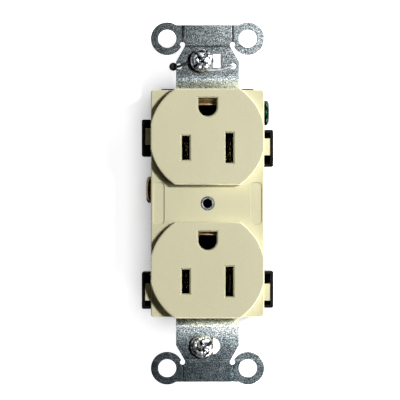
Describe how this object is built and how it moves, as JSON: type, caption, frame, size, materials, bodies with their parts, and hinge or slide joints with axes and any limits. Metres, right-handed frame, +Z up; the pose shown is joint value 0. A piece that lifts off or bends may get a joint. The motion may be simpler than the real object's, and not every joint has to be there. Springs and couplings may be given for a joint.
{
  "type": "duplex wall outlet",
  "caption": "Duplex wall outlet with two raised round outlets, a steel mounting strap with ears, side screw terminals and a tapped middle hole for the cover plate.",
  "frame": {"origin": "axis of the cover-plate screw hole, in the wall plane (the rear faces of the strap's ears)", "axes": "+Z up the wall along the strap, -Y out of the wall towards the room, +X to the right seen from the room"},
  "size_m": [0.0384, 0.0286, 0.1058],
  "materials": {
    "ivory_plastic": "moulded, faint satin texture",
    "black_plastic": "moulded nylon, fine grain",
    "zinc_steel": "zinc-plated stamping, mottled",
    "spring_wire": "drawn spring wire",
    "bus_brass": "rolled strip",
    "rivet_steel": "plated",
    "clamp_steel": "zinc plated, grooved",
    "screw_brass": "polished",
    "screw_nickel": "nickel plated",
    "screw_green": "green dyed, glossy",
    "mounting_zinc": "bright zinc plated",
    "fibre": "vulcanised fibre sheet"
  },
  "bodies": {
    "housing": {"face": "ivory_plastic", "rear_body": "black_plastic", "mounting_strap": "zinc_steel", "grounding_spring": "spring_wire", "hot_bus": "bus_brass", "neutral_bus": "bus_brass", "ground_contact_upper": "bus_brass", "ground_contact_lower": "bus_brass", "ground_rivets_upper": "rivet_steel", "ground_rivets_lower": "rivet_steel"},
    "hot_clamp_upper": {"hot_clamp_upper": "clamp_steel"},
    "hot_screw_upper": {"hot_screw_upper": "screw_brass"},
    "hot_clamp_lower": {"hot_clamp_lower": "clamp_steel"},
    "hot_screw_lower": {"hot_screw_lower": "screw_brass"},
    "neutral_clamp_upper": {"neutral_clamp_upper": "clamp_steel"},
    "neutral_screw_upper": {"neutral_screw_upper": "screw_nickel"},
    "neutral_clamp_lower": {"neutral_clamp_lower": "clamp_steel"},
    "neutral_screw_lower": {"neutral_screw_lower": "screw_nickel"},
    "ground_clamp": {"ground_clamp": "clamp_steel"},
    "ground_screw": {"ground_screw": "screw_green"},
    "retainer_top": {"retainer_top": "fibre"},
    "mounting_screw_top": {"mounting_screw_top": "mounting_zinc"},
    "retainer_bottom": {"retainer_bottom": "fibre"},
    "mounting_screw_bottom": {"mounting_screw_bottom": "mounting_zinc"}
  },
  "joints": [
    {"name": "hot_clamp_upper_slide", "type": "slide", "parent": "housing", "child": "hot_clamp_upper", "axis": [-1, 0, 0], "range_m": [-0.002, 0]},
    {"name": "hot_screw_upper_turn", "type": "hinge", "parent": "hot_clamp_upper", "child": "hot_screw_upper", "pos_m": [-0.0142, 0.0105, 0.004], "axis": [-1, 0, 0], "range_deg": [-908.09, 0]},
    {"name": "hot_clamp_lower_slide", "type": "slide", "parent": "housing", "child": "hot_clamp_lower", "axis": [-1, 0, 0], "range_m": [0, 0.002]},
    {"name": "hot_screw_lower_turn", "type": "hinge", "parent": "hot_clamp_lower", "child": "hot_screw_lower", "pos_m": [-0.0142, 0.0105, -0.0106], "axis": [-1, 0, 0], "range_deg": [0, 908.09]},
    {"name": "neutral_clamp_upper_slide", "type": "slide", "parent": "housing", "child": "neutral_clamp_upper", "axis": [1, 0, 0], "range_m": [0, 0.002]},
    {"name": "neutral_screw_upper_turn", "type": "hinge", "parent": "neutral_clamp_upper", "child": "neutral_screw_upper", "pos_m": [0.0142, 0.0105, 0.004], "axis": [1, 0, 0], "range_deg": [0, 908.09]},
    {"name": "neutral_clamp_lower_slide", "type": "slide", "parent": "housing", "child": "neutral_clamp_lower", "axis": [1, 0, 0], "range_m": [0, 0.002]},
    {"name": "neutral_screw_lower_turn", "type": "hinge", "parent": "neutral_clamp_lower", "child": "neutral_screw_lower", "pos_m": [0.0142, 0.0105, -0.0106], "axis": [1, 0, 0], "range_deg": [0, 908.09]},
    {"name": "ground_clamp_slide", "type": "slide", "parent": "housing", "child": "ground_clamp", "axis": [1, 0, 0], "range_m": [-0.0019, 0]},
    {"name": "ground_screw_turn", "type": "hinge", "parent": "ground_clamp", "child": "ground_screw", "pos_m": [0.0162, 0.0058, 0.0266], "axis": [1, 0, 0], "range_deg": [-862.73, 0]},
    {"name": "retainer_top_slide", "type": "slide", "parent": "housing", "child": "retainer_top", "axis": [1, 0, 0], "range_m": [-0.0004, 0.0036]},
    {"name": "mounting_screw_top_turn", "type": "hinge", "parent": "retainer_top", "child": "mounting_screw_top", "pos_m": [-0.0016, 0, 0.04167], "axis": [0, -1, 0], "continuous": true},
    {"name": "retainer_bottom_slide", "type": "slide", "parent": "housing", "child": "retainer_bottom", "axis": [1, 0, 0], "range_m": [-0.00025, 0.00345]},
    {"name": "mounting_screw_bottom_turn", "type": "hinge", "parent": "retainer_bottom", "child": "mounting_screw_bottom", "pos_m": [-0.0016, 0, -0.04167], "axis": [0, -1, 0], "continuous": true}
  ],
  "couplings": [
    {"joint": "hot_screw_upper_turn", "follows": "hot_clamp_upper_slide", "rad_per_m": 7915.8},
    {"joint": "hot_screw_lower_turn", "follows": "hot_clamp_lower_slide", "rad_per_m": 7915.8},
    {"joint": "neutral_screw_upper_turn", "follows": "neutral_clamp_upper_slide", "rad_per_m": 7915.8},
    {"joint": "neutral_screw_lower_turn", "follows": "neutral_clamp_lower_slide", "rad_per_m": 7915.8},
    {"joint": "ground_screw_turn", "follows": "ground_clamp_slide", "rad_per_m": 7915.8}
  ]
}
